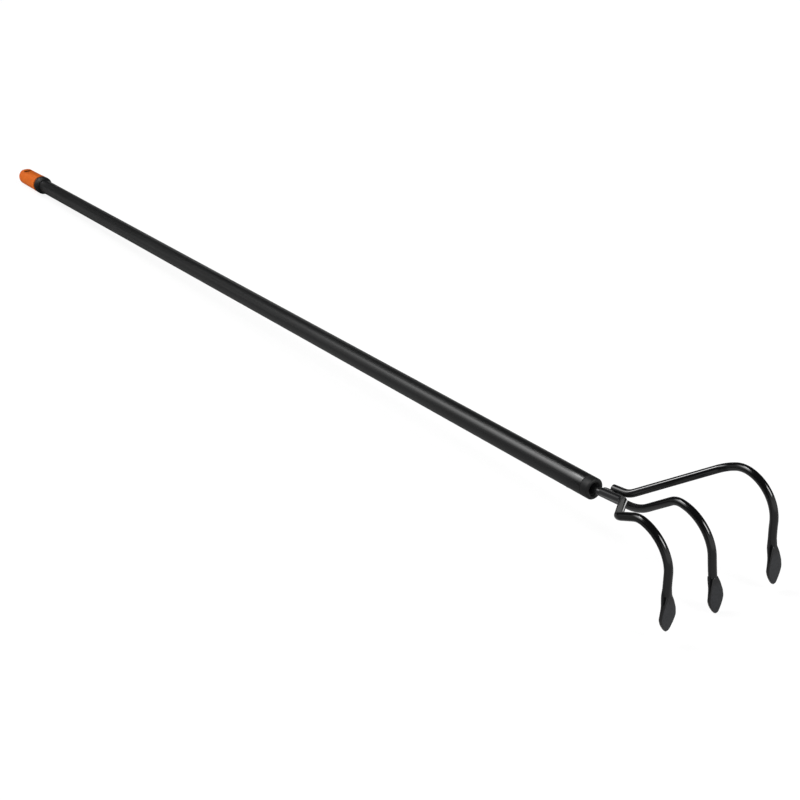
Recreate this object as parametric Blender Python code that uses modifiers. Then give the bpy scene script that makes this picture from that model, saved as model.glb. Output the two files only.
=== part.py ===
"""Garden cultivator: three hooked tines on a long steel-tube handle with a hanging cap.

Metres, +Z up. Every piece is modelled in the handle's frame: X runs along the tube towards
the tines with zero at the tube's mouth, Y is the user's left and Z is up. One empty then
sets the tool down, so that it lies on the middle tine's tip and on the cap.
"""

import math

import bmesh
import bpy
from mathutils import Matrix, Vector

GAP = 0.0003                    # between pieces that touch
SAME_PLACE = 0.000001           # vertices nearer than this are one

# Handle tube
TUBE_RADIUS = 0.0111
TUBE_WALL = 0.0012
TUBE_FRONT = -0.0063
TUBE_BACK = -1.3797
TUBE_SIDES = 64

# Ferrule in the tube's mouth
FERRULE_FRONT = 0.004
FERRULE_SHOULDER = -0.006
FERRULE_BACK = -0.050
FERRULE_RIM = 0.002
DISH_RADIUS = 0.0068
DISH_DEPTH = 0.005

# Bush round the end of the tang, and the rivet that holds the ferrule
BUSH_FRONT = -0.070
BUSH_BACK = -0.086
BUSH_CHAMFER = 0.001
RIVET_X = -0.031
RIVET_RADIUS = 0.002
RIVET_DEPTH = 0.0045
RIVET_HEAD_RADIUS = 0.0036
RIVET_HEAD_HEIGHT = 0.0013

# Hanging cap and its collar
CAP_MOUTH = -1.348
CAP_END = -1.4205
CAP_BORE_END = -1.380
CAP_LIP_RADIUS = 0.0144
CAP_LIP_LENGTH = 0.007
CAP_LIP_CHAMFER = 0.0006
CAP_RADIUS_FRONT = 0.0141
CAP_RADIUS_BACK = 0.0137
CAP_DOME = 0.0095
CAP_DOME_FULLNESS = 0.6         # 1 is an ellipse, less is blunter
CAP_FLAT_HEIGHT = 0.0116        # of each flat above the axis
CAP_FLAT_START = -1.382
CAP_FLAT_RUNOUT = 0.004
SLOT_X = -1.4035
SLOT_LENGTH = 0.014             # across the cap
SLOT_WIDTH = 0.009
SLOT_ROUNDING = 0.45            # share of the width that each corner takes
COLLAR_BACK = -1.3472
COLLAR_FRONT = -1.3315
COLLAR_NECK_RADIUS = 0.0132
COLLAR_NECK_LENGTH = 0.0030
COLLAR_RADIUS = 0.0146
COLLAR_TAPER = 0.0045
COLLAR_TOE_RADIUS = 0.0119
COLLAR_CHAMFER = 0.001

# Tines: 8 mm round bar
ROD_RADIUS = 0.004
ROD_SIDES = 16
TANG_END = -0.090
TANG_BEND_RADIUS = 0.020
SHANK_RISE = math.radians(3.4)  # of the shank above the tube's axis
ARC_STEP = math.radians(7.5)

CENTER_SHANK = 0.0617           # from the tube's mouth to the middle of the first bend
CENTER_RISE = math.radians(35.4)
CENTER_BEND_RADIUS = 0.046
CENTER_REACH = 0.0464           # on from there to the hook
# Each stretch of a hook: its length and the slope, in degrees, at which it ends
CENTER_HOOK = ((0.0131, -4.5), (0.0423, -60.9), (0.0154, -83.8), (0.0191, -80.9))

OUTER_KNEE_RADIUS = 0.0118
OUTER_REACH = 0.0186            # from the knee to the hook
OUTER_TOE_IN = math.radians(0.9)
# Bent by hand, the outer tines differ a little. Each has its side, the points where its root starts,
# where it bends away from the shank and where its knee lies, the bend's radius, its slope past the
# knee, and its hook.
OUTER_TINES = {
    "left_tine": {
        "side": 1,
        "root": (0.0217, 0.0062, 0.0073),
        "bend": (0.0412, 0.0073, 0.0088),
        "knee": (0.1009, 0.0688, 0.0429),
        "bend_radius": 0.014,
        "rise": math.radians(19.6),
        "hook": ((0.0124, -13.2), (0.0390, -70.3), (0.0137, -90.6), (0.0225, -83.2)),
    },
    "right_tine": {
        "side": -1,
        "root": (0.0189, -0.0061, 0.0068),
        "bend": (0.0483, -0.0073, 0.0104),
        "knee": (0.1009, -0.0688, 0.0414),
        "bend_radius": 0.008,
        "rise": math.radians(22.2),
        "hook": ((0.0120, -13.0), (0.0388, -67.8), (0.0137, -91.2), (0.0198, -88.8)),
    },
}

# Forged leaf at the end of each tine: share of its length, half width, half thickness, and how far
# ahead of the bar's axis its middle lies there
LEAF_STATIONS = (
    (0.05, 0.0047, 0.0035, 0.0004),
    (0.12, 0.0058, 0.0029, 0.0011),
    (0.19, 0.0068, 0.0024, 0.0018),
    (0.28, 0.0078, 0.0020, 0.0023),
    (0.40, 0.0089, 0.0018, 0.0023),
    (0.54, 0.0097, 0.0017, 0.0021),
    (0.64, 0.0092, 0.0017, 0.0019),
    (0.74, 0.0078, 0.0016, 0.0018),
    (0.83, 0.0059, 0.0015, 0.0017),
    (0.91, 0.0038, 0.0014, 0.0016),
    (0.965, 0.0022, 0.0012, 0.0016),
    (0.99, 0.0012, 0.0009, 0.0016),
    (1.00, 0.0005, 0.0005, 0.0016),
)
LEAF_LENGTH = {"center_tine": 0.0356, "left_tine": 0.0385, "right_tine": 0.0362}
LEAF_SQUARENESS = 0.72          # 1 is an ellipse, less has flatter faces

# Weld beads in the grooves between the shank and the two roots
BEAD_RIPPLES = 6
BEAD_RIPPLE_DEPTH = 0.08
BEAD_END = 0.25                 # share of its radius that a bead starts and ends with
BEAD_POINTS = 25
# Each bead: the root whose groove it fills, above or below it, where along the tool it runs, its radius
BEADS = {
    "left_top_weld": ("left_tine", 1, 0.0155, 0.0290, 0.0017),
    "right_top_weld": ("right_tine", 1, 0.0325, 0.0430, 0.0017),
    "left_underside_weld": ("left_tine", -1, 0.0225, 0.0360, 0.0014),
    "right_underside_weld": ("right_tine", -1, 0.0215, 0.0380, 0.0010),
}

ALONG_HANDLE = (0, math.pi / 2, 0)      # lays a piece turned about Z along the handle


def clear_scene():
    for obj in list(bpy.data.objects):
        bpy.data.objects.remove(obj, do_unlink=True)


def new_collection(name):
    collection = bpy.data.collections.new(name)
    bpy.context.scene.collection.children.link(collection)
    return collection


def new_material(name, color, roughness, metallic=0.0):
    material = bpy.data.materials.new(name)
    material.use_nodes = True
    shader = material.node_tree.nodes["Principled BSDF"]
    shader.inputs["Base Color"].default_value = (*color, 1)
    shader.inputs["Roughness"].default_value = roughness
    shader.inputs["Metallic"].default_value = metallic
    material.diffuse_color = (*color, 1)
    return material


def place(obj, material=None):
    """Links a piece to the tool and lets it ride on the empty."""
    tool.objects.link(obj)
    obj.parent = lying_tool
    if material:
        obj.data.materials.append(material)
    return obj


def place_cutter(obj):
    cutters.objects.link(obj)
    obj.parent = lying_tool
    obj.hide_render = True
    obj.display_type = "WIRE"
    return obj


def cut(obj, cutter):
    boolean = obj.modifiers.new("cut_" + cutter.name, "BOOLEAN")
    boolean.operation = "DIFFERENCE"
    boolean.object = cutter


def arc_points(center, radius, start, end, steps):
    """Points (along, radius) of an arc in a turned profile, angles in degrees from the axis' outward side."""
    points = []
    for i in range(steps + 1):
        angle = math.radians(start + (end - start) * i / steps)
        points.append((center[0] + radius * math.sin(angle), center[1] + radius * math.cos(angle)))
    return points


def turned(name, profile, material, sides, closed=True):
    """Turns a profile of (place along the axis, radius), listed down its outer side, about Z."""
    mesh = bpy.data.meshes.new(name)
    edges = [(i, i + 1) for i in range(len(profile) - 1)]
    if closed:
        edges.append((len(profile) - 1, 0))
    mesh.from_pydata([(radius, 0, along) for along, radius in profile], edges, [])
    obj = place(bpy.data.objects.new(name, mesh), material)
    screw = obj.modifiers.new("turn", "SCREW")
    screw.steps = screw.render_steps = sides
    screw.use_merge_vertices = True
    screw.merge_threshold = 0.00001
    screw.use_smooth_shade = True
    obj.rotation_euler = ALONG_HANDLE
    return obj


def rod_mesh(name, points, radius, sides=ROD_SIDES, radii=None):
    """A round bar through the points as a closed mesh with welded caps."""
    curve = bpy.data.curves.new(name, "CURVE")
    curve.dimensions = "3D"
    curve.bevel_depth = radius
    curve.bevel_resolution = (sides - 4) // 2
    curve.use_fill_caps = True
    spline = curve.splines.new("POLY")
    spline.points.add(len(points) - 1)
    for i, point in enumerate(points):
        spline.points[i].co = (*point, 1)
        spline.points[i].radius = radii[i] if radii else 1
    bar = bpy.data.objects.new(name, curve)
    bpy.context.scene.collection.objects.link(bar)
    bpy.context.view_layer.update()
    mesh = bpy.data.meshes.new_from_object(bar.evaluated_get(bpy.context.evaluated_depsgraph_get()))
    bpy.data.objects.remove(bar)
    bpy.data.curves.remove(curve)
    shape = bmesh.new()
    shape.from_mesh(mesh)
    bmesh.ops.remove_doubles(shape, verts=shape.verts, dist=SAME_PLACE)
    bmesh.ops.recalc_face_normals(shape, faces=shape.faces)
    shape.to_mesh(mesh)
    shape.free()
    mesh.name = name
    return mesh


def smooth_round(mesh, angle=40):
    mesh.shade_smooth()
    mesh.set_sharp_from_angle(angle=math.radians(angle))


def filleted(corners, radii):
    """A path through the corners with each inner corner rounded to its radius."""
    path = [corners[0]]
    for before, corner, after, radius in zip(corners, corners[1:], corners[2:], radii):
        into = (corner - before).normalized()
        out = (after - corner).normalized()
        turn = into.angle(out)
        axis = into.cross(out).normalized()
        start = corner - into * radius * math.tan(turn / 2)
        center = start + axis.cross(into) * radius
        steps = max(2, math.ceil(turn / ARC_STEP))
        for i in range(steps + 1):
            path.append(center + Matrix.Rotation(turn * i / steps, 3, axis) @ (start - center))
    path.append(corners[-1])
    return path


def hooked(path, side_axis, slope, stretches):
    """Continues a path in an upright plane through arcs given as (length, slope in degrees at its end)."""
    path = list(path)
    level = side_axis.cross(Vector((0, 0, 1))).normalized()

    def heading(angle):
        return level * math.cos(angle) + Vector((0, 0, 1)) * math.sin(angle)

    for length, end_degrees in stretches:
        turn = math.radians(end_degrees) - slope
        steps = max(2, math.ceil(abs(turn) / ARC_STEP))
        half = turn / steps / 2
        chord = length / steps * math.sin(half) / half
        for i in range(steps):
            path.append(path[-1] + heading(slope + half * (2 * i + 1)) * chord)
        slope += turn
    return path, heading(slope)


def forge_leaf(mesh, base, heading, lateral, length):
    """Draws the bar's end out into a flat pointed leaf, one extrusion of its end face a station."""
    flat = heading.cross(lateral).normalized()
    shape = bmesh.new()
    shape.from_mesh(mesh)
    reach = ROD_RADIUS + SAME_PLACE
    cap = [face for face in shape.faces if all((vert.co - base).length < reach for vert in face.verts)]
    end = bmesh.ops.dissolve_faces(shape, faces=cap)["region"][0]
    angles = {}
    for vert in end.verts:
        offset = vert.co - base
        angles[vert] = math.atan2(offset.dot(flat), offset.dot(lateral))
    for share, half_width, half_thickness, ahead in LEAF_STATIONS:
        made = bmesh.ops.extrude_face_region(shape, geom=[end])["geom"]
        shape.faces.remove(end)
        end = next(item for item in made if isinstance(item, bmesh.types.BMFace))
        squareness = max(LEAF_SQUARENESS, 1 - share)
        center = base + heading * length * share + flat * ahead
        ring = {}
        for vert in end.verts:
            angle = angles[min(angles, key=lambda old: (old.co - vert.co).length)]
            across = math.copysign(abs(math.cos(angle)) ** squareness, math.cos(angle))
            through = math.copysign(abs(math.sin(angle)) ** squareness, math.sin(angle))
            ring[vert] = angle
            vert.co = center + lateral * half_width * across + flat * half_thickness * through
        angles = ring
    bmesh.ops.recalc_face_normals(shape, faces=shape.faces)
    shape.to_mesh(mesh)
    shape.free()


def make_tine(name, path, heading, material):
    """A bar along the path that ends in its leaf, whose width lies across the handle."""
    mesh = rod_mesh(name, path, ROD_RADIUS)
    lateral = (Vector((0, 1, 0)) - heading * heading.y).normalized()
    forge_leaf(mesh, path[-1], heading, lateral, LEAF_LENGTH[name])
    smooth_round(mesh)
    return place(bpy.data.objects.new(name, mesh), material)


def shank_direction():
    return Vector((math.cos(SHANK_RISE), 0, math.sin(SHANK_RISE)))


def make_center_tine(material):
    """Tang, shank and middle hook in one bar, all in the plane of symmetry."""
    first_bend = shank_direction() * CENTER_SHANK
    rise = Vector((math.cos(CENTER_RISE), 0, math.sin(CENTER_RISE)))
    corners = [Vector((TANG_END, 0, 0)), Vector((0, 0, 0)), first_bend, first_bend + rise * CENTER_REACH]
    path = filleted(corners, (TANG_BEND_RADIUS, CENTER_BEND_RADIUS))
    path, heading = hooked(path, Vector((0, 1, 0)), CENTER_RISE, CENTER_HOOK)
    return make_tine("center_tine", path, heading, material)


def make_outer_tine(name, material):
    """A root beside the shank, a diagonal run out to the knee, and a hook in an upright plane."""
    tine = OUTER_TINES[name]
    knee = Vector(tine["knee"])
    toe_in = Matrix.Rotation(-tine["side"] * OUTER_TOE_IN, 3, "Z")
    heading = toe_in @ Vector((math.cos(tine["rise"]), 0, math.sin(tine["rise"])))
    corners = [Vector(tine["root"]), Vector(tine["bend"]), knee, knee + heading * OUTER_REACH]
    path = filleted(corners, (tine["bend_radius"], OUTER_KNEE_RADIUS))
    path, heading = hooked(path, toe_in @ Vector((0, 1, 0)), tine["rise"], tine["hook"])
    return make_tine(name, path, heading, material)


def groove_point(tine, x, face, reach):
    """The point above or below the groove beside a root that lies the reach from both bars' centres."""
    root = Vector(tine["root"])
    run = Vector(tine["bend"]) - root
    beside = root + run * ((x - root.x) / run.x)
    along = shank_direction()
    shank = along * beside.dot(along)
    across = beside - shank
    upward = along.cross(across).normalized() * tine["side"]
    height = math.sqrt(reach ** 2 - (across.length / 2) ** 2)
    return (beside + shank) / 2 + upward * face * height


def make_weld(name, material):
    """A rippled bead that lies in the groove between the shank and one root."""
    tine_name, face, start, end, radius = BEADS[name]
    reach = ROD_RADIUS + GAP + radius * (1 + BEAD_RIPPLE_DEPTH)
    points = []
    swells = []
    for i in range(BEAD_POINTS):
        share = i / (BEAD_POINTS - 1)
        points.append(groove_point(OUTER_TINES[tine_name], start + (end - start) * share, face, reach))
        fullness = math.sqrt(1 - (2 * share - 1) ** 4)
        ripple = 1 + BEAD_RIPPLE_DEPTH * math.sin(2 * math.pi * BEAD_RIPPLES * share)
        swells.append(max(BEAD_END, fullness) * ripple)
    mesh = rod_mesh(name, points, radius, 8, swells)
    smooth_round(mesh)
    return place(bpy.data.objects.new(name, mesh), material)


def make_handle_tube(material):
    inside = TUBE_RADIUS - TUBE_WALL
    profile = [(TUBE_FRONT, TUBE_RADIUS), (TUBE_BACK, TUBE_RADIUS), (TUBE_BACK, inside), (TUBE_FRONT, inside)]
    return turned("handle_tube", profile, material, TUBE_SIDES)


def make_ferrule(material):
    """Plug with a collar flush with the tube, a dished face and a bore for the tang."""
    spigot = TUBE_RADIUS - TUBE_WALL - GAP
    bore = ROD_RADIUS + GAP
    rim = arc_points((FERRULE_FRONT - FERRULE_RIM, TUBE_RADIUS - FERRULE_RIM), FERRULE_RIM, 90, 0, 5)
    profile = [(FERRULE_FRONT, DISH_RADIUS)] + rim + [
        (FERRULE_SHOULDER, TUBE_RADIUS),
        (FERRULE_SHOULDER, spigot),
        (FERRULE_BACK, spigot),
        (FERRULE_BACK, bore),
        (FERRULE_FRONT - DISH_DEPTH, bore),
    ]
    return turned("ferrule", profile, material, 48)


def make_tang_bush(material):
    """Ring that centres the tang's end inside the tube."""
    outside = TUBE_RADIUS - TUBE_WALL - GAP
    bore = ROD_RADIUS + GAP
    profile = [
        (BUSH_FRONT, outside - BUSH_CHAMFER),
        (BUSH_FRONT - BUSH_CHAMFER, outside),
        (BUSH_BACK + BUSH_CHAMFER, outside),
        (BUSH_BACK, outside - BUSH_CHAMFER),
        (BUSH_BACK, bore),
        (BUSH_FRONT, bore),
    ]
    return turned("tang_bush", profile, material, 32)


def make_rivet(material, held):
    """Rivet through the underside of the tube into the ferrule, with a hole for it in both."""
    head_base = TUBE_RADIUS + GAP
    steps = 5
    head = []
    for i in range(steps):
        angle = math.pi / 2 * i / steps
        head.append((head_base + RIVET_HEAD_HEIGHT * math.cos(angle), RIVET_HEAD_RADIUS * math.sin(angle)))
    profile = head + [
        (head_base, RIVET_HEAD_RADIUS),
        (head_base, RIVET_RADIUS),
        (TUBE_RADIUS - RIVET_DEPTH, RIVET_RADIUS),
        (TUBE_RADIUS - RIVET_DEPTH, 0),
    ]
    rivet = turned("ferrule_rivet", profile, material, 24, closed=False)
    rivet.rotation_euler = (math.pi, 0, 0)
    rivet.location = (RIVET_X, 0, 0)
    depth = RIVET_DEPTH + GAP
    bpy.ops.mesh.primitive_cylinder_add(vertices=24, radius=RIVET_RADIUS + GAP, depth=2 * depth)
    hole = bpy.context.object
    hole.name = "rivet_hole"
    for collection in list(hole.users_collection):
        collection.objects.unlink(hole)
    place_cutter(hole)
    hole.location = (RIVET_X, 0, -TUBE_RADIUS)
    for obj in held:
        cut(obj, hole)
    return rivet


def make_hanging_cap(material):
    """Moulded cap: blind bore over the tube, lip at the mouth, domed end, two flats and a slot."""
    bore = TUBE_RADIUS + GAP
    dome_start = CAP_END + CAP_DOME
    dome = []
    steps = 9
    for i in range(steps + 1):
        angle = math.pi / 2 * i / steps
        dome.append((dome_start - CAP_DOME * math.sin(angle), CAP_RADIUS_BACK * math.cos(angle) ** CAP_DOME_FULLNESS))
    dome[-1] = (CAP_END, 0)
    lip_back = CAP_MOUTH - CAP_LIP_LENGTH
    profile = [
        (CAP_BORE_END, 0),
        (CAP_BORE_END, bore),
        (CAP_MOUTH, bore),
        (CAP_MOUTH, CAP_LIP_RADIUS - CAP_LIP_CHAMFER),
        (CAP_MOUTH - CAP_LIP_CHAMFER, CAP_LIP_RADIUS),
        (lip_back, CAP_LIP_RADIUS),
        (lip_back - CAP_LIP_CHAMFER, CAP_RADIUS_FRONT),
    ] + dome
    cap = turned("hanging_cap", profile, material, 56, closed=False)

    for face, side in (("upper", 1), ("lower", -1)):
        size = Vector((0.060, 0.040, 0.010))
        shape = bmesh.new()
        bmesh.ops.create_cube(shape, size=1, matrix=Matrix.Diagonal((*size, 1)))
        edge = [e for e in shape.edges if all(v.co.x > 0 and v.co.z * side < 0 for v in e.verts)]
        bmesh.ops.bevel(shape, geom=edge, offset=CAP_FLAT_RUNOUT, segments=6, profile=0.5, affect="EDGES")
        mesh = bpy.data.meshes.new(face + "_flat")
        shape.to_mesh(mesh)
        shape.free()
        flat = place_cutter(bpy.data.objects.new(face + "_flat", mesh))
        flat.location = (CAP_FLAT_START - size.x / 2, 0, side * (CAP_FLAT_HEIGHT + size.z / 2))
        cut(cap, flat)

    shape = bmesh.new()
    bmesh.ops.create_cube(shape, size=1, matrix=Matrix.Diagonal((SLOT_WIDTH, SLOT_LENGTH, 0.040, 1)))
    upright = [e for e in shape.edges if abs(e.verts[0].co.z - e.verts[1].co.z) > 0.01]
    bmesh.ops.bevel(shape, geom=upright, offset=SLOT_WIDTH * SLOT_ROUNDING, segments=6, profile=0.5, affect="EDGES")
    mesh = bpy.data.meshes.new("hanging_slot")
    shape.to_mesh(mesh)
    shape.free()
    slot = place_cutter(bpy.data.objects.new("hanging_slot", mesh))
    slot.location = (SLOT_X, 0, 0)
    cut(cap, slot)
    return cap


def make_collar(material):
    """Ring that slides up to the cap, with a narrow neck on that side and a tapered toe."""
    bore = TUBE_RADIUS + GAP
    shoulder = COLLAR_BACK + COLLAR_NECK_LENGTH
    profile = [
        (COLLAR_FRONT, COLLAR_TOE_RADIUS),
        (COLLAR_FRONT - COLLAR_TAPER, COLLAR_RADIUS - COLLAR_CHAMFER / 2),
        (COLLAR_FRONT - COLLAR_TAPER - COLLAR_CHAMFER, COLLAR_RADIUS),
        (shoulder + COLLAR_CHAMFER, COLLAR_RADIUS),
        (shoulder, COLLAR_RADIUS - COLLAR_CHAMFER),
        (shoulder, COLLAR_NECK_RADIUS),
        (COLLAR_BACK, COLLAR_NECK_RADIUS),
        (COLLAR_BACK, bore),
        (COLLAR_FRONT, bore),
    ]
    return turned("cap_collar", profile, material, 56)


def set_down():
    """Tilts the tool until its cap and the middle leaf's tip share a level, then centres it over the origin."""
    bpy.context.view_layer.update()
    graph = bpy.context.evaluated_depsgraph_get()
    points = []
    for obj in tool.objects:
        evaluated = obj.evaluated_get(graph)
        mesh = evaluated.to_mesh()
        points += [obj.matrix_world @ vert.co for vert in mesh.vertices]
        evaluated.to_mesh_clear()
    tip = min(points, key=lambda point: point.z)
    rear = [point for point in points if point.x < COLLAR_FRONT]
    slope = min((point.z - tip.z) / (tip.x - point.x) for point in rear)
    tilt = -math.atan(slope)
    lying = [Matrix.Rotation(tilt, 3, "Y") @ point for point in points]
    low = [min(point[i] for point in lying) for i in range(3)]
    high = [max(point[i] for point in lying) for i in range(3)]
    lying_tool.rotation_euler.y = tilt
    lying_tool.location = (-(low[0] + high[0]) / 2, -(low[1] + high[1]) / 2, -low[2])


clear_scene()
tool = new_collection("garden_cultivator")
cutters = new_collection("cutters")
cutters.hide_render = True
lying_tool = bpy.data.objects.new("lying_tool", None)
bpy.context.scene.collection.objects.link(lying_tool)

black_paint = new_material("black_paint", (0.012, 0.012, 0.013), 0.42)
tine_paint = new_material("tine_paint", (0.010, 0.010, 0.012), 0.30)
orange_plastic = new_material("orange_plastic", (0.62, 0.14, 0.02), 0.42)
black_plastic = new_material("black_plastic", (0.014, 0.014, 0.015), 0.50)
bright_steel = new_material("bright_steel", (0.55, 0.55, 0.56), 0.35, 1.0)

tube = make_handle_tube(black_paint)
ferrule = make_ferrule(black_plastic)
make_tang_bush(black_plastic)
make_rivet(bright_steel, (tube, ferrule))
make_hanging_cap(orange_plastic)
make_collar(black_plastic)
make_center_tine(tine_paint)
for tine_name in OUTER_TINES:
    make_outer_tine(tine_name, tine_paint)
for weld_name in BEADS:
    make_weld(weld_name, tine_paint)
set_down()
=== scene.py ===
"""Garden cultivator lying on a white studio floor, seen from ahead of its tines."""

import math

import bpy
from mathutils import Matrix, Vector


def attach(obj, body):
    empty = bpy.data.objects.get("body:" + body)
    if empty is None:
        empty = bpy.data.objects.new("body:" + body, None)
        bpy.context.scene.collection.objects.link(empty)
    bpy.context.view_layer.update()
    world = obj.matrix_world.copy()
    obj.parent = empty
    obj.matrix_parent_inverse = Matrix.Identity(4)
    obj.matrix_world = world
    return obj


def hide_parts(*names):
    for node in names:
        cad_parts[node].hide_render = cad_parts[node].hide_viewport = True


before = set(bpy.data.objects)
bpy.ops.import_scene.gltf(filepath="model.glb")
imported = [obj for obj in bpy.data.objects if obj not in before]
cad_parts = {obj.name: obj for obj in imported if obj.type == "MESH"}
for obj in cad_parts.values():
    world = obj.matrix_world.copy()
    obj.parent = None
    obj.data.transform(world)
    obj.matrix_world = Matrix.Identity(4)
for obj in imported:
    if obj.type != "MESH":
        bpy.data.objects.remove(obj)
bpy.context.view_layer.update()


# The handle tube.
# A steel tube of 22 mm, cut to length and powder-coated black. The coat is satin, with a fine
# orange-peel skin and faint rub marks along the tube. The tool lies on the floor on its cap and
# its middle tine, so its handle slopes a little, and the pieces are drawn in the handle's frame.

handle_tilt = -0.0275889
tube_mouth = Vector((0.6247656, 0.0000224, 0.0520353))
handle_frame = Matrix.Translation(tube_mouth) @ Matrix.Rotation(handle_tilt, 4, "Y")
ring_sides = 96
same_place = 0.000002


class Level:
    """A number that varies over a surface. Arithmetic on it adds the Math nodes."""

    def __init__(self, finish, socket):
        self.finish = finish
        self.socket = socket

    def math(self, operation, first, second):
        return self.finish.add("ShaderNodeMath", {"operation": operation}, {0: first, 1: second})

    def __add__(self, other):
        return self.math("ADD", self, other)

    __radd__ = __add__

    def __sub__(self, other):
        return self.math("SUBTRACT", self, other)

    def __rsub__(self, other):
        return self.math("SUBTRACT", other, self)

    def __mul__(self, other):
        return self.math("MULTIPLY", self, other)

    __rmul__ = __mul__

    def without_sign(self):
        return self.math("ABSOLUTE", self, 0)


class Finish:
    """A material whose nodes are added one at a time round its Principled shader."""

    def __init__(self, name):
        self.material = bpy.data.materials.new(name)
        self.material.use_nodes = True
        self.tree = self.material.node_tree
        self.shader = self.tree.nodes["Principled BSDF"]

    def add(self, kind, settings, sockets, output=0):
        node = self.tree.nodes.new(kind)
        for name, value in settings.items():
            setattr(node, name, value)
        for name, value in sockets.items():
            self.connect(node.inputs[name], value)
        return Level(self, node.outputs[output])

    def connect(self, socket, value):
        if isinstance(value, Level):
            self.tree.links.new(value.socket, socket)
        elif isinstance(value, tuple) and socket.type == "RGBA":
            socket.default_value = (*value, 1)
        else:
            socket.default_value = value

    def surface(self, **values):
        for name, value in values.items():
            self.connect(self.shader.inputs[name.replace("_", " ")], value)

    def place(self, scale=(1, 1, 1)):
        """Where a point lies on the tool, with its axes stretched or squeezed."""
        here = self.add("ShaderNodeTexCoord", {}, {}, "Object")
        return self.add("ShaderNodeMapping", {}, {"Vector": here, "Scale": scale})

    def part(self, vector, axis):
        return self.add("ShaderNodeSeparateXYZ", {}, {"Vector": vector}, axis)

    def noise(self, scale, detail, roughness=0.5, stretch=(1, 1, 1)):
        sockets = {"Vector": self.place(stretch), "Scale": scale, "Detail": detail, "Roughness": roughness}
        return self.add("ShaderNodeTexNoise", {}, sockets)

    def between(self, value, low, high):
        """0 at the low value and 1 at the high one, with a smooth rise."""
        sockets = {"Value": value, "From Min": low, "From Max": high}
        return self.add("ShaderNodeMapRange", {"interpolation_type": "SMOOTHSTEP"}, sockets)

    def blend(self, factor, first, second):
        return self.add("ShaderNodeMix", {"data_type": "RGBA"}, {0: factor, 6: first, 7: second}, 2)

    def relief(self, height, distance, strength):
        sockets = {"Height": height, "Distance": distance, "Strength": strength}
        return self.add("ShaderNodeBump", {}, sockets)


def turned(name, profile, sides, solid=False):
    """Draws a ring along the handle through the (place, radius) points of a turned profile."""
    bpy.ops.object.select_all(action="DESELECT")
    along, radius = profile[0]
    bpy.ops.mesh.primitive_circle_add(
        vertices=sides,
        radius=radius,
        fill_type="NGON" if solid else "NOTHING",
        location=(along, 0, 0),
        rotation=(0, math.pi / 2, 0),
    )
    piece = bpy.context.object
    piece.name = name
    bpy.ops.object.transform_apply(location=True, rotation=True, scale=True)
    bpy.ops.object.mode_set(mode="EDIT")
    bpy.ops.mesh.select_all(action="SELECT")
    for next_along, next_radius in profile[1:]:
        bpy.ops.mesh.extrude_region_move(TRANSFORM_OT_translate={"value": (next_along - along, 0, 0)})
        growth = next_radius / radius
        bpy.ops.transform.resize(value=(1, growth, growth), center_override=(next_along, 0, 0))
        along, radius = next_along, next_radius
    bpy.ops.mesh.select_all(action="SELECT")
    bpy.ops.mesh.remove_doubles(threshold=same_place)
    bpy.ops.mesh.normals_make_consistent(inside=False)
    bpy.ops.object.mode_set(mode="OBJECT")
    return piece


def break_edges(piece, width, sharp_from=30):
    """Rounds the edges that turn by more than an angle, as a file or a mould leaves them."""
    bpy.context.view_layer.objects.active = piece
    bevel = piece.modifiers.new("broken_edges", "BEVEL")
    bevel.width = width
    bevel.segments = 3
    bevel.angle_limit = math.radians(sharp_from)
    bpy.ops.object.modifier_apply(modifier=bevel.name)


def cut_away(piece, cutter):
    bpy.context.view_layer.objects.active = piece
    hole = piece.modifiers.new("hole", "BOOLEAN")
    hole.operation = "DIFFERENCE"
    hole.solver = "EXACT"
    hole.object = cutter
    bpy.ops.object.modifier_apply(modifier=hole.name)


def settle(piece, node, finish, place=handle_frame, sharp_from=35):
    """Puts a finished piece where it belongs on the tool, in place of its solid."""
    bpy.ops.object.select_all(action="DESELECT")
    bpy.context.view_layer.objects.active = piece
    piece.select_set(True)
    piece.matrix_world = place
    bpy.ops.object.transform_apply(location=True, rotation=True, scale=True)
    bpy.ops.object.shade_smooth_by_angle(angle=math.radians(sharp_from))
    piece.data.materials.append(finish.material)
    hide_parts(node)
    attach(piece, "root")


tube_radius = 0.0111
tube_inside = 0.0099
tube_front = -0.0063
tube_back = -1.3797
tube_edge = 0.00025
rivet_place = -0.031
rivet_room = 0.004

powder_coat = Finish("satin_black_powder_coat")
peel = powder_coat.noise(1500, 2.0)
grain = powder_coat.noise(5200, 1.0)
rub = powder_coat.noise(60, 4.0, 0.6, stretch=(0.05, 1, 1))
cloud = powder_coat.between(powder_coat.noise(9, 3.0), 0.3, 0.7)
powder_coat.surface(
    Base_Color=powder_coat.blend(cloud, (0.0045, 0.0048, 0.0050), (0.0068, 0.0071, 0.0073)),
    Roughness=0.25 + powder_coat.between(rub, 0.35, 0.75) * 0.05 + grain * 0.03,
    Normal=powder_coat.relief(peel * 0.7 + grain * 0.3, 0.000010, 0.6),
)
tube = turned(
    "tube",
    [
        (tube_front, tube_radius),
        (rivet_place + rivet_room, tube_radius),
        (rivet_place - rivet_room, tube_radius),
        (tube_back, tube_radius),
        (tube_back, tube_inside),
        (rivet_place - rivet_room, tube_inside),
        (rivet_place + rivet_room, tube_inside),
        (tube_front, tube_inside),
        (tube_front, tube_radius),
    ],
    ring_sides,
)
break_edges(tube, tube_edge)


# The ferrule in the tube's mouth.
# A plug moulded in black plastic, its rim flush with the tube and its face dished round the
# bore that takes the tang. It is duller than the tube and has a fine moulded texture.

ferrule_front = 0.004
ferrule_shoulder = -0.006
ferrule_back = -0.050
ferrule_rim = 0.002
dish_radius = 0.0066
dish_depth = 0.005
dish_lip = 0.0024
tang_bore = 0.0043
spigot_radius = 0.0096
ferrule_edge = 0.0002
rim_steps = 8

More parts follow.
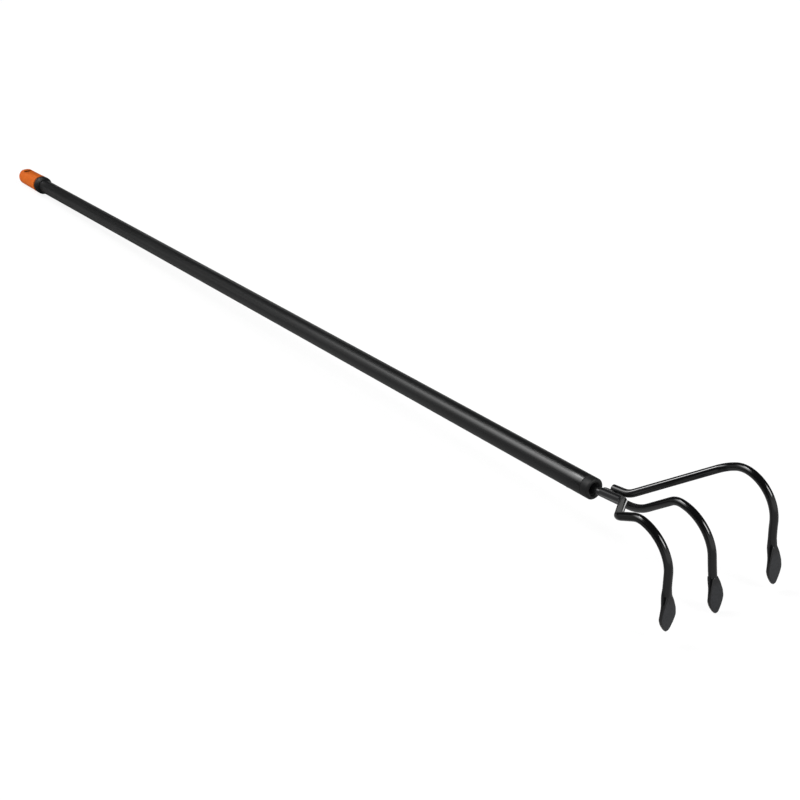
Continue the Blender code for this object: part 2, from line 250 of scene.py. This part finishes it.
moulded_black = Finish("moulded_black_plastic")
spark = moulded_black.noise(3800, 2.0)
flow = moulded_black.noise(70, 4.0, 0.6)
moulded_black.surface(
    Base_Color=moulded_black.blend(flow, (0.0035, 0.0036, 0.0038), (0.0065, 0.0066, 0.0068)),
    Roughness=0.46 + flow * 0.10 + spark * 0.04,
    Specular_IOR_Level=0.35,
    Normal=moulded_black.relief(spark, 0.00004, 0.6),
)
dish = []
for share in (0.0, 0.35, 0.7):
    depth = dish_depth * (1 - share ** 2)
    dish.append((ferrule_front - depth, tang_bore + (dish_radius - tang_bore) * share))
lip = []
rim = []
for step in range(rim_steps + 1):
    turn = math.pi / 2 * step / rim_steps
    covered, remaining = 1 - math.cos(turn), 1 - math.sin(turn)
    lip.append((ferrule_front - dish_lip * remaining, dish_radius + dish_lip * covered))
    rim.append((ferrule_front - ferrule_rim * covered, tube_radius - ferrule_rim * remaining))
ferrule = turned(
    "ferrule_plug",
    dish + lip + rim + [
        (ferrule_shoulder, tube_radius),
        (ferrule_shoulder, spigot_radius),
        (rivet_place + rivet_room, spigot_radius),
        (rivet_place - rivet_room, spigot_radius),
        (ferrule_back, spigot_radius),
        (ferrule_back, tang_bore),
        dish[0],
    ],
    ring_sides,
)
break_edges(ferrule, ferrule_edge)


# The bush and the rivet.
# A ring of the same black plastic steadies the tang deep in the tube, and one zinc-plated
# rivet through the underside of the tube holds the ferrule.

bush_front = -0.070
bush_back = -0.086
bush_edge = 0.0006
bush_sides = 64
rivet_radius = 0.002
rivet_clearance = 0.0003
rivet_tip = 0.0066
rivet_head_radius = 0.0036
rivet_head_height = 0.0013
rivet_head_arc = math.radians(86)
rivet_head_steps = 8
rivet_sides = 48
drill_length = 0.0105
drill_sides = 32

bush = turned(
    "tang_ring",
    [
        (bush_front, spigot_radius),
        (bush_back, spigot_radius),
        (bush_back, tang_bore),
        (bush_front, tang_bore),
        (bush_front, spigot_radius),
    ],
    bush_sides,
)
break_edges(bush, bush_edge)
settle(bush, "tang_bush", moulded_black)

bpy.ops.object.select_all(action="DESELECT")
bpy.ops.mesh.primitive_cylinder_add(
    vertices=drill_sides,
    radius=rivet_radius + rivet_clearance,
    depth=drill_length,
    location=(rivet_place, 0, -tube_radius),
)
drill = bpy.context.object
for drilled in (tube, ferrule):
    cut_away(drilled, drill)
bpy.data.objects.remove(drill)
settle(tube, "handle_tube", powder_coat)
settle(ferrule, "ferrule", moulded_black)

zinc_plate = Finish("zinc_plated_rivet")
spangle = zinc_plate.noise(900, 3.0)
fog = zinc_plate.noise(2600, 2.0)
zinc_plate.surface(
    Base_Color=zinc_plate.blend(spangle, (0.42, 0.43, 0.44), (0.62, 0.62, 0.63)),
    Metallic=1.0,
    Roughness=0.28 + fog * 0.2,
    Normal=zinc_plate.relief(fog, 0.00002, 0.5),
)
head_base = tube_radius + rivet_clearance
rivet_profile = [(rivet_tip, rivet_radius), (head_base, rivet_radius), (head_base, rivet_head_radius)]
for step in range(1, rivet_head_steps + 1):
    turn = rivet_head_arc * step / rivet_head_steps
    height = rivet_head_height * math.sin(turn)
    rivet_profile.append((head_base + height, rivet_head_radius * math.cos(turn)))
rivet = turned("rivet", rivet_profile, rivet_sides, solid=True)
pointing_down = Matrix.Translation((rivet_place, 0, 0)) @ Matrix.Rotation(math.pi / 2, 4, "Y")
settle(rivet, "ferrule_rivet", zinc_plate, place=handle_frame @ pointing_down)


# The hanging cap.
# Moulded in orange plastic and pushed over the tube's end: a lip at its mouth, a domed end
# with a flat above and below, and a slot to hang it by. Satin with a fine spark texture, with
# shade painted dark into its colour down in the slot.

cap_mouth = -1.348
cap_end = -1.4205
cap_bore_end = -1.380
cap_lip_length = 0.007
cap_lip_step = 0.0004
cap_lip_radius = 0.0144
cap_front_radius = 0.0141
cap_back_radius = 0.0137
cap_dome = 0.0095
dome_roundness = 0.6
cap_flat_height = 0.0116
cap_flat_start = -1.382
cap_flat_runout = 0.004
slot_place = -1.4035
slot_length = 0.014
slot_width = 0.009
slot_corner = 0.45 * slot_width
# How far from the slot's middle its painted shade ends, and where it is full, along each axis
shade_paint_reach = ((0.0056, 0.0047), (0.0079, 0.0070), (0.0113, 0.0100))
sleeve_bore = 0.0114
cap_edge = 0.0004
cap_sharp_from = 32
dome_steps = 18
planer_size = Vector((0.060, 0.040, 0.010))
punch_height = 0.040
corner_steps = 12
margin = 0.001

cap_orange = Finish("satin_orange_plastic")
cap_spark = cap_orange.noise(3200, 2.0)
cap_flow = cap_orange.noise(90, 4.0, 0.55)
slot_middle = handle_frame @ Vector((slot_place, 0, 0))
in_cap = cap_orange.place()
# Painted shade: the cap's colour turns dark brown inside the slot, in place of the slot's shadow
slot_painted_shade = 1
for axis, (shade_end, shade_start) in enumerate(shade_paint_reach):
    from_middle = (cap_orange.part(in_cap, axis) - slot_middle[axis]).without_sign()
    slot_painted_shade = cap_orange.between(from_middle, shade_end, shade_start) * slot_painted_shade
cap_cloud = cap_orange.between(cap_flow, 0.3, 0.7)
orange = cap_orange.blend(cap_cloud, (0.49, 0.090, 0.004), (0.57, 0.116, 0.007))
cap_orange.surface(
    Base_Color=cap_orange.blend(slot_painted_shade, orange, (0.055, 0.009, 0.0015)),
    Roughness=0.36 + cap_flow * 0.12 + cap_spark * 0.05,
    Specular_IOR_Level=0.18,
    Normal=cap_orange.relief(cap_spark, 0.00003, 0.6),
)
cap_profile = [
    (cap_bore_end, sleeve_bore),
    (cap_mouth, sleeve_bore),
    (cap_mouth, cap_lip_radius),
    (cap_mouth - cap_lip_length, cap_lip_radius),
    (cap_mouth - cap_lip_length - cap_lip_step, cap_front_radius),
]
for step in range(dome_steps):
    turn = math.pi / 2 * step / dome_steps
    dome_radius = cap_back_radius * math.cos(turn) ** dome_roundness
    cap_profile.append((cap_end + cap_dome * (1 - math.sin(turn)), dome_radius))
cap = turned("orange_cap", cap_profile, ring_sides, solid=True)

for side in (1, -1):
    bpy.ops.object.select_all(action="DESELECT")
    planer_height = side * (cap_flat_height + planer_size.z / 2)
    bpy.ops.mesh.primitive_cube_add(
        size=1, location=(cap_flat_start - planer_size.x / 2, 0, planer_height), scale=planer_size
    )
    planer = bpy.context.object
    bpy.ops.object.transform_apply(location=True, rotation=True, scale=True)
    for edge in planer.data.edges:
        ends = [planer.data.vertices[index].co for index in edge.vertices]
        at_front = all(end.x > cap_flat_start - margin for end in ends)
        at_flat = all(abs(end.z) < cap_flat_height + margin for end in ends)
        edge.select = at_front and at_flat
    bpy.ops.object.mode_set(mode="EDIT")
    bpy.ops.mesh.select_mode(type="EDGE")
    bpy.ops.mesh.bevel(offset=cap_flat_runout, segments=corner_steps)
    bpy.ops.object.mode_set(mode="OBJECT")
    cut_away(cap, planer)
    bpy.data.objects.remove(planer)

bpy.ops.object.select_all(action="DESELECT")
bpy.ops.mesh.primitive_cube_add(
    size=1, location=(slot_place, 0, 0), scale=(slot_width, slot_length, punch_height)
)
slot_punch = bpy.context.object
bpy.ops.object.transform_apply(location=True, rotation=True, scale=True)
for edge in slot_punch.data.edges:
    ends = [slot_punch.data.vertices[index].co for index in edge.vertices]
    edge.select = abs(ends[0].z - ends[1].z) > margin
bpy.ops.object.mode_set(mode="EDIT")
bpy.ops.mesh.select_mode(type="EDGE")
bpy.ops.mesh.bevel(offset=slot_corner, segments=corner_steps)
bpy.ops.object.mode_set(mode="OBJECT")
cut_away(cap, slot_punch)
bpy.data.objects.remove(slot_punch)
break_edges(cap, cap_edge, cap_sharp_from)
settle(cap, "hanging_cap", cap_orange, sharp_from=40)


# The collar at the cap's mouth.
# A black plastic ring that slides along the tube until its neck sits in the cap, with a short
# taper on the side of the tube.

collar_back = -1.3472
collar_front = -1.3315
collar_shoulder = -1.3442
collar_taper = 0.0045
collar_neck_radius = 0.0132
collar_radius = 0.0146
collar_toe_radius = 0.0119
collar_round_length = 0.001
collar_round_height = 0.0003
collar_edge = 0.0002

collar = turned(
    "black_collar",
    [
        (collar_front, collar_toe_radius),
        (collar_front - collar_taper, collar_radius - collar_round_height),
        (collar_front - collar_taper - collar_round_length, collar_radius),
        (collar_shoulder, collar_radius),
        (collar_shoulder, collar_neck_radius),
        (collar_back, collar_neck_radius),
        (collar_back, sleeve_bore),
        (collar_front, sleeve_bore),
        (collar_front, collar_toe_radius),
    ],
    ring_sides,
)
break_edges(collar, collar_edge)
settle(collar, "cap_collar", moulded_black)


# The middle tine.
# One 8 mm steel bar makes the tang, the shank and the middle hook. It is bent hot, and its end is
# pressed between dies to a flat pointed leaf. The black enamel is glossy on the bar, greyer where
# the welds have scaled it, and duller and a little bluish on the leaf.

bar_radius = 0.004
bar_sides = 40
bar_chamfer = 0.0003
bend_step = math.radians(3)
tang_end = Vector((-0.090, 0, 0))
tang_bend_radius = 0.020
shank_rise = math.radians(3.4)
shank_length = 0.0617
middle_rise = math.radians(35.4)
middle_bend_radius = 0.046
middle_reach = 0.0464
middle_hook = ((0.0131, -4.5), (0.0423, -60.9), (0.0154, -83.8), (0.0191, -80.9))
middle_leaf_length = 0.0356
# How much thicker than the leaf the end is first drawn, and how softly it is pressed down at the edges
swelling = 3.2
press_softness = 1.8
# The share of the leaf over which both of these set in, and how flat a face has to be to look forged
fully_pressed = 0.4
flat_from = 0.9
# In leaf lengths: how far before the leaf its look can start, and how far from its root it can reach
forge_lead = 0.5
forge_reach = 1.5
leaf_steps = 4
weld_middle = Vector((0.038, 0, 0.009))
# Share of the leaf's length, half width, half thickness, and how far its middle lies ahead of the bar's
leaf_stations = (
    (0.00, 0.0040, 0.0040, 0.0000),
    (0.06, 0.0048, 0.0036, 0.0004),
    (0.12, 0.0056, 0.0032, 0.0009),
    (0.19, 0.0065, 0.0027, 0.0015),
    (0.28, 0.0074, 0.0022, 0.0020),
    (0.40, 0.0087, 0.0018, 0.0023),
    (0.50, 0.0093, 0.0017, 0.0022),
    (0.57, 0.0096, 0.0017, 0.0021),
    (0.63, 0.0093, 0.0017, 0.0020),
    (0.74, 0.0079, 0.0016, 0.0018),
    (0.83, 0.0061, 0.0015, 0.0017),
    (0.91, 0.0042, 0.0014, 0.0016),
    (0.965, 0.0026, 0.0012, 0.0016),
    (0.99, 0.0014, 0.0009, 0.0016),
    (1.00, 0.0005, 0.0005, 0.0016),
)


def eased_stations():
    """The leaf's stations with smooth steps between them."""
    eased = []
    last = len(leaf_stations) - 1
    for index in range(last):
        around = [leaf_stations[min(max(index + shift, 0), last)] for shift in (-1, 0, 1, 2)]
        for step in range(leaf_steps):
            way = (step + 1) / leaf_steps
            station = []
            for before, start, end, after in zip(*around):
                bow = (end - before) * way + (2 * before - 5 * start + 4 * end - after) * way ** 2
                station.append(start + 0.5 * (bow + (3 * start - before - 3 * end + after) * way ** 3))
            eased.append(station)
    return eased


class Bar:
    """A round steel bar that grows from its cut end, straight on or round a bend."""

    def __init__(self, name, end, heading):
        bpy.ops.object.select_all(action="DESELECT")
        bpy.ops.mesh.primitive_circle_add(
            vertices=bar_sides,
            radius=bar_radius - bar_chamfer,
            fill_type="NGON",
            location=end,
            rotation=heading.to_track_quat("Z", "Y").to_euler(),
        )
        self.piece = bpy.context.object
        self.piece.name = name
        self.end = end
        self.heading = heading
        bpy.ops.object.transform_apply(location=True, rotation=True, scale=True)
        bpy.ops.object.mode_set(mode="EDIT")
        bpy.ops.mesh.select_mode(type="FACE")
        bpy.ops.mesh.select_all(action="SELECT")
        self.draw(heading * bar_chamfer)
        swell = bar_radius / (bar_radius - bar_chamfer)
        bpy.ops.transform.resize(value=(swell, swell, swell), center_override=self.end)

    def draw(self, way):
        bpy.ops.mesh.extrude_region_move(TRANSFORM_OT_translate={"value": way})
        self.end = self.end + way

    def bend(self, axis, radius, turn):
        """Carries the bar on round an axis. Spin turns the other way, so it gets the turn negative."""
        center = self.end + axis.cross(self.heading) * radius
        bpy.ops.mesh.spin(steps=max(3, math.ceil(turn / bend_step)), angle=-turn, center=center, axis=axis)
        onward = Matrix.Rotation(turn, 3, axis)
        self.heading = onward @ self.heading
        self.end = center + onward @ (self.end - center)

    def bend_at(self, corner, onward, radius):
        """Draws the bar towards a corner and bends it there into the onward direction."""
        turn = self.heading.angle(onward)
        way = corner - self.end
        self.draw(way - way.normalized() * radius * math.tan(turn / 2))
        self.bend(self.heading.cross(onward).normalized(), radius, turn)

    def hook(self, start, sideways, slope, stretches):
        """Goes on to the hook's start, then through arcs of (length, slope in degrees at the end)."""
        self.draw(start - self.end)
        for length, end_degrees in stretches:
            turn = slope - math.radians(end_degrees)
            self.bend(sideways * math.copysign(1, turn), length / abs(turn), abs(turn))
            slope -= turn

    def forge(self, length):
        """Draws the end out into the leaf and presses both its faces flat, softly at their edges."""
        lateral = (Vector((0, 1, 0)) - self.heading * self.heading.y).normalized()
        flat = self.heading.cross(lateral)
        base = self.end
        leaf_axes = Matrix((lateral, flat, self.heading)).transposed()
        stations = eased_stations()
        width, thickness = bar_radius, bar_radius
        for share, next_width, half_thickness, ahead in stations:
            next_thickness = half_thickness * (1 + (swelling - 1) * min(1, share / fully_pressed))
            self.draw(base + self.heading * length * share + flat * ahead - self.end)
            bpy.ops.transform.resize(
                value=(next_width / width, next_thickness / thickness, 1),
                orient_type="GLOBAL",
                orient_matrix=leaf_axes,
                orient_matrix_type="GLOBAL",
                center_override=self.end,
            )
            width, thickness = next_width, next_thickness
        bpy.ops.mesh.select_all(action="SELECT")
        bpy.ops.mesh.normals_make_consistent(inside=False)
        bpy.ops.object.mode_set(mode="OBJECT")
        forged = self.piece.data.attributes.new("forged", "FLOAT", "POINT")
        for vert in self.piece.data.vertices:
            offset = vert.co - base
            share = offset.dot(self.heading) / length
            if share < -forge_lead or offset.length > forge_reach * length:
                continue
            forged.data[vert.index].value = share + forge_lead
            if share > 0:
                _, _, half_thickness, ahead = min(stations, key=lambda station: abs(station[0] - share))
                proud = offset.dot(flat) - ahead
                softness = 1 + (press_softness - 1) * min(1, share / fully_pressed)
                pressed_flat = math.sin(min(abs(proud) / (half_thickness * softness), 1) * math.pi / 2)
                vert.co -= flat * (proud - math.copysign(half_thickness * pressed_flat, proud))
                forged.data[vert.index].value *= max(0, pressed_flat - flat_from) / (1 - flat_from)


enamel = Finish("black_tine_enamel")
drawn = enamel.noise(420, 4.0, 0.55)
sag = enamel.noise(110, 2.0)
speck = enamel.noise(2400, 2.0)
hammered = enamel.noise(520, 3.0, 0.6)
pressed = enamel.add("ShaderNodeAttribute", {"attribute_name": "forged"}, {}, "Fac")
leaf = enamel.between(pressed + (drawn - 0.5) * 0.10, 0.50, 0.85)
bar_color = enamel.blend(drawn, (0.0018, 0.0018, 0.0020), (0.0034, 0.0034, 0.0037))
forge_mottle = enamel.between(hammered, 0.35, 0.65)
leaf_color = enamel.blend(forge_mottle, (0.0060, 0.0066, 0.0084), (0.0150, 0.0163, 0.0196))
from_welds = enamel.add(
    "ShaderNodeVectorMath",
    {"operation": "DISTANCE"},
    {0: enamel.place(), 1: handle_frame @ weld_middle},
    "Value",
)
scaled = enamel.between(from_welds + (drawn - 0.5) * 0.02, 0.050, 0.016)
bar_color = enamel.blend(scaled, bar_color, (0.0105, 0.0105, 0.0112))
enamel.surface(
    Base_Color=enamel.blend(leaf, bar_color, leaf_color),
    Roughness=0.11 + drawn * 0.06 + leaf * 0.28 + scaled * 0.02,
    Normal=enamel.relief(sag * 0.4 + drawn * 0.05 + speck * 0.01 + leaf * hammered * 0.35, 0.00012, 0.7),
)

rise = Vector((math.cos(middle_rise), 0, math.sin(middle_rise)))
shank = Vector((math.cos(shank_rise), 0, math.sin(shank_rise)))
first_bend = shank * shank_length
middle_bar = Bar("middle_bar", tang_end, Vector((1, 0, 0)))
middle_bar.bend_at(Vector((0, 0, 0)), shank, tang_bend_radius)
middle_bar.bend_at(first_bend, rise, middle_bend_radius)
middle_bar.hook(first_bend + rise * middle_reach, Vector((0, 1, 0)), middle_rise, middle_hook)
middle_bar.forge(middle_leaf_length)
settle(middle_bar.piece, "center_tine", enamel)


# The two outer tines.
# The same bar, cut square at its root, which is welded beside the shank. Each runs out to a knee
# and bends down there into its hook. Bent by hand, the two differ a little.

toe_in = math.radians(0.9)
outer_bars = (
    {
        "node": "left_tine",
        "side": 1,
        "root": Vector((0.0217, 0.0062, 0.0073)),
        "bend": Vector((0.0412, 0.0073, 0.0088)),
        "knee": Vector((0.1009, 0.0688, 0.0429)),
        "bend_radius": 0.014,
        "knee_radius": 0.022,
        "knee_reach": 0.0120,
        "rise": math.radians(24.2),
        "hook": ((0.0190, -11.5), (0.0390, -70.3), (0.0137, -90.6), (0.0235, -83.2)),
        "leaf_length": 0.0385,
    },
    {
        "node": "right_tine",
        "side": -1,
        "root": Vector((0.0189, -0.0061, 0.0068)),
        "bend": Vector((0.0483, -0.0073, 0.0104)),
        "knee": Vector((0.1009, -0.0688, 0.0414)),
        "bend_radius": 0.008,
        "knee_radius": 0.0118,
        "knee_reach": 0.0186,
        "rise": math.radians(22.2),
        "hook": ((0.0120, -13.0), (0.0388, -67.8), (0.0137, -91.2), (0.0198, -88.8)),
        "leaf_length": 0.0362,
    },
)
for tine in outer_bars:
    inward = Matrix.Rotation(-tine["side"] * toe_in, 3, "Z")
    onward = inward @ Vector((math.cos(tine["rise"]), 0, math.sin(tine["rise"])))
    outer_bar = Bar(tine["node"] + "_bar", tine["root"], (tine["bend"] - tine["root"]).normalized())
    outer_bar.bend_at(tine["bend"], (tine["knee"] - tine["bend"]).normalized(), tine["bend_radius"])
    outer_bar.bend_at(tine["knee"], onward, tine["knee_radius"])
    hook_start = tine["knee"] + onward * tine["knee_reach"]
    outer_bar.hook(hook_start, inward @ Vector((0, 1, 0)), tine["rise"], tine["hook"])
    outer_bar.forge(tine["leaf_length"])
    settle(outer_bar.piece, tine["node"], enamel)


# The welds.
# Two beads above and two below join the roots of the outer tines to the shank. The ripples
# of the weld show through the same black enamel.

weld_enamel = Finish("enamelled_weld")
slag = weld_enamel.noise(1100, 4.0, 0.6)
weld_enamel.surface(
    Base_Color=weld_enamel.blend(slag, (0.0080, 0.0080, 0.0085), (0.0170, 0.0170, 0.0175)),
    Roughness=0.32 + slag * 0.15,
    Normal=weld_enamel.relief(slag, 0.0002, 0.7),
)
for bead_name in ("left_top_weld", "right_top_weld", "left_underside_weld", "right_underside_weld"):
    bpy.ops.object.select_all(action="DESELECT")
    bead = bpy.data.objects.new(bead_name + "_bead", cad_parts[bead_name].data.copy())
    bpy.context.scene.collection.objects.link(bead)
    bpy.context.view_layer.objects.active = bead
    bead.select_set(True)
    bead.data.materials.clear()
    bpy.ops.object.mode_set(mode="EDIT")
    bpy.ops.mesh.select_all(action="SELECT")
    bpy.ops.mesh.remove_doubles(threshold=same_place)
    bpy.ops.mesh.customdata_custom_splitnormals_clear()
    bpy.ops.mesh.tris_convert_to_quads(face_threshold=math.radians(30), shape_threshold=math.radians(60))
    bpy.ops.object.mode_set(mode="OBJECT")
    rounding = bead.modifiers.new("rounding", "SUBSURF")
    rounding.levels = rounding.render_levels = 2
    bpy.ops.object.modifier_apply(modifier=rounding.name)
    settle(bead, bead_name, weld_enamel, place=Matrix.Identity(4), sharp_from=60)


# The studio.
# A white floor and surround, brighter in the patches that the tool mirrors: a long softbox draws
# the band of light along the tube, and a small high one the line on the far tine. A soft lamp
# hangs high ahead of the tines, and a low fill lights the handle's right side.

floor_size = 40
seen_floor_glow = 0.885
bounced_floor_glow = 0.6
handle_patch_glow = 0.16
tines_patch_glow = 0.32
root_patch_glow = 0.9
bend_patch_glow = 0.30
dim_surround = 0.03
ahead_radiance = 0.90
left_radiance = 0.35
right_radiance = 0.35
long_box_radiance = 8.5
high_box_radiance = 13.0


def strip(finish, place, start, full, fading, end):
    """1 from the full place to the fading one, easing to 0 at the start and at the end."""
    return finish.between(place, start, full) * finish.between(place, end, fading)


bpy.ops.object.select_all(action="DESELECT")
bpy.ops.mesh.primitive_grid_add(x_subdivisions=4, y_subdivisions=4, size=floor_size, location=(0, 0, 0))
floor = bpy.context.object
floor.name = "studio_floor"
white_floor = Finish("white_floor")
paper = white_floor.noise(600, 2.0)
white_floor.surface(
    Base_Color=white_floor.blend(paper, (0.135, 0.135, 0.135), (0.145, 0.145, 0.145)),
    Roughness=1.0,
    Specular_IOR_Level=0.0,
)
seen = white_floor.add("ShaderNodeLightPath", {}, {}, "Is Camera Ray")
mirrored = white_floor.add("ShaderNodeLightPath", {}, {}, "Is Glossy Ray")
bounced = white_floor.add("ShaderNodeLightPath", {}, {}, "Is Diffuse Ray")
along = white_floor.part(white_floor.place(), "X")
across = white_floor.part(white_floor.place(), "Y")

# The patches of the floor that the tool mirrors, by their places along it and across it
by_handle = strip(white_floor, along, -0.80, 0.60, 0.54, 0.72) * handle_patch_glow
by_handle = by_handle * (0.4 + white_floor.between(across, 0.05, -0.05) * 0.6)
by_tines = white_floor.between(along, 0.67, 0.82) * tines_patch_glow
by_root = strip(white_floor, along, 0.54, 0.60, 0.66, 0.74) * root_patch_glow
by_root = by_root * strip(white_floor, across, 0.05, 0.09, 0.22, 0.32)
under_bend = strip(white_floor, along, 0.57, 0.62, 0.68, 0.74) * bend_patch_glow
under_bend = under_bend * strip(white_floor, across, -0.13, -0.08, 0.02, 0.06)
patches = by_handle + by_tines + by_root + under_bend
shine = seen * seen_floor_glow + mirrored * patches + bounced * bounced_floor_glow
glow = white_floor.add("ShaderNodeEmission", {}, {"Color": (1, 1, 1), "Strength": shine})
lit = Level(white_floor, white_floor.shader.outputs[0])
glowing_and_lit = white_floor.add("ShaderNodeAddShader", {}, {0: glow, 1: lit})
white_floor.connect(white_floor.tree.nodes["Material Output"].inputs["Surface"], glowing_and_lit)
floor.data.materials.append(white_floor.material)

world = bpy.data.worlds.new("studio_surround")
world.use_nodes = True
bpy.context.scene.world = world


class Surround(Finish):
    """The world's nodes, added in the same way as a finish's."""

    def __init__(self, surroundings):
        self.tree = surroundings.node_tree


surround = Surround(world)
toward = surround.add("ShaderNodeTexCoord", {}, {}, "Generated")
toward_x = surround.part(toward, "X")
toward_y = surround.part(toward, "Y")
toward_z = surround.part(toward, "Z")

# The glows and softboxes of the surround, by the directions that they lie in
ahead_glow = surround.between(toward_x, 0.30, 0.80) * surround.between(toward_z, 0.68, 0.30)
left_glow = surround.between(toward_y, 0.30, 0.50) * surround.between(toward_x, 0.10, -0.30)
left_glow = left_glow * surround.between(toward_z, 0.30, 0.12)
right_glow = surround.between(toward_y, -0.22, -0.45) * surround.between(toward_x, -0.35, -0.65)
right_glow = right_glow * surround.between(toward_z, 0.42, 0.20)
long_box = surround.between(toward_y, -0.10, -0.28) * strip(surround, toward_x, -0.88, -0.55, -0.42, -0.25)
long_box = long_box * surround.between(toward_y + toward_z * 0.9, -0.50, 0.10)
long_box = long_box * (1 - surround.between(toward_y, -0.28, -0.55) * 0.45)
high_box = surround.between(toward_z, 0.78, 0.83) * surround.between(toward_x + toward_y, -0.50, -0.60)
high_box = high_box * surround.between(toward_y, -0.34, -0.24)
glows = ahead_glow * ahead_radiance + left_glow * left_radiance + right_glow * right_radiance
level = dim_surround + glows + long_box * long_box_radiance + high_box * high_box_radiance
camera_ray = surround.add("ShaderNodeLightPath", {}, {}, "Is Camera Ray")
background = world.node_tree.nodes["Background"]
background.inputs["Color"].default_value = (1, 1, 1, 1)
surround.connect(background.inputs["Strength"], camera_ray + (1 - camera_ray) * level)


def hang_panel(name, place, target, width, height, radiance):
    """A soft panel that faces the target, its power set by the brightness of its face."""
    light = bpy.data.lights.new(name, "AREA")
    light.shape = "RECTANGLE"
    light.size = width
    light.size_y = height
    light.energy = radiance * math.pi * width * height
    lamp = bpy.data.objects.new(name, light)
    bpy.context.scene.collection.objects.link(lamp)
    lamp.location = place
    lamp.rotation_euler = (Vector(target) - Vector(place)).to_track_quat("-Z", "Y").to_euler()
    return lamp


hang_panel("front_lamp", (6.6, 2.0, 6.1), (0.3, 0, 0), width=3.8, height=3.4, radiance=11.5)
fill_lamp = hang_panel("fill_lamp", (-0.6, -5.0, 1.0), (-0.4, 0, 0), width=5.0, height=2.0, radiance=5.0)
fill_lamp.visible_glossy = False


# The camera.
# It looks down on the tool from ahead of the handle's middle, on the tool's right-hand side,
# where the tines come nearest. Its place is given in the handle's own frame.

right = Vector((0.59441, 0.80390, -0.02042))
up = Vector((-0.33793, 0.27275, 0.90078))
back = right.cross(up).normalized()
up = back.cross(right).normalized()
view = Matrix((right.normalized(), up, back)).transposed().to_4x4()
view.translation = Vector((0.7744, -0.7866, 0.6227))
camera_data = bpy.data.cameras.new("camera")
camera_data.lens = 58.5
camera_data.sensor_width = 36
camera = bpy.data.objects.new("camera", camera_data)
bpy.context.scene.collection.objects.link(camera)
camera.matrix_world = handle_frame @ view
bpy.context.scene.camera = camera
bpy.context.scene.view_settings.view_transform = "Standard"
